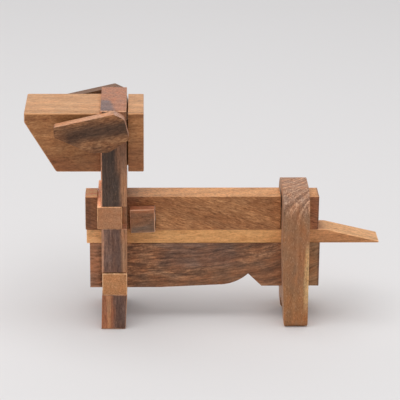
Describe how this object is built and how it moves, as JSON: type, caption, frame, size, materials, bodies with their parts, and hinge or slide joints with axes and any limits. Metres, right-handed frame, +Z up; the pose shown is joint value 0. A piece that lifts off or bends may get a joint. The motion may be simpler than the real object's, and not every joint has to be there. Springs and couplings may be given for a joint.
{
  "type": "interlocking wooden dog puzzle",
  "caption": "Interlocking wooden puzzle shaped like a long-bodied dog, built from notched hardwood sticks with a pull-out tail bar.",
  "frame": {"origin": "on the surface that the feet stand on, midway between the nose and the tip of the tail, in the plane of symmetry", "axes": "+X from the nose to the tail, +Y across the dog from the near side to the far side, +Z up"},
  "size_m": [0.1811, 0.0536, 0.1184],
  "materials": {
    "head_wood": "satin",
    "front_arch_wood": "satin",
    "near_ear_wood": "satin",
    "far_ear_wood": "satin",
    "upper_beam_wood": "satin",
    "tail_wood": "satin",
    "lower_beam_wood": "satin",
    "upper_key_wood": "satin",
    "lower_key_wood": "satin",
    "peg_wood": "satin",
    "hind_board_wood": "satin"
  },
  "bodies": {
    "frame": {"front_arch": "front_arch_wood", "near_ear": "near_ear_wood", "far_ear": "far_ear_wood", "upper_beam": "upper_beam_wood", "lower_beam": "lower_beam_wood", "upper_key": "upper_key_wood", "lower_key": "lower_key_wood", "hind_board": "hind_board_wood"},
    "tail": {"tail_bar": "tail_wood"},
    "peg": {"cross_peg": "peg_wood"},
    "head": {"head_block": "head_wood"}
  },
  "joints": [
    {"name": "tail_pull", "type": "slide", "parent": "frame", "child": "tail", "axis": [1, 0, 0], "range_m": [0, 0.118]},
    {"name": "peg_push", "type": "slide", "parent": "frame", "child": "peg", "axis": [0, 1, 0], "range_m": [-0.02, 0.02]},
    {"name": "head_slide", "type": "slide", "parent": "frame", "child": "head", "axis": [0, 0, 1], "range_m": [-0.017, 0]}
  ]
}
